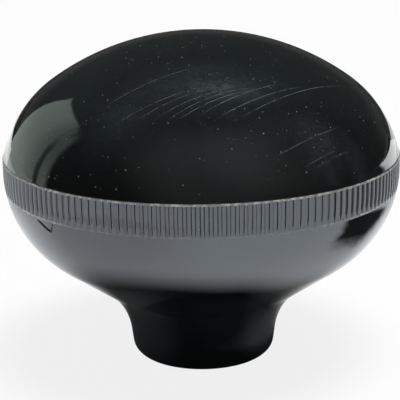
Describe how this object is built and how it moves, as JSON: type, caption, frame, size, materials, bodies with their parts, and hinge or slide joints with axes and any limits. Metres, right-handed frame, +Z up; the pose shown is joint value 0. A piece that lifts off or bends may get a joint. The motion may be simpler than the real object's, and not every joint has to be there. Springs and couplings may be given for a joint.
{
  "type": "ball knob",
  "caption": "Black flattened ball knob on a short tapered stem, with a ribbed grip band at its widest and a threaded brass bush in its foot, to be screwed on a lever or shaft.",
  "frame": {"origin": "centre of the foot, in the plane that the knob stands on", "axes": "+Z up the knob's axis, from the foot to the dome; +X and +Y are alike"},
  "size_m": [0.048, 0.048, 0.04],
  "materials": {
    "phenolic": "polished black phenolic moulding, matt on the ribs",
    "brass": "turned brass"
  },
  "bodies": {
    "root": {"knob_body": "phenolic", "threaded_insert": "brass"}
  },
  "joints": []
}
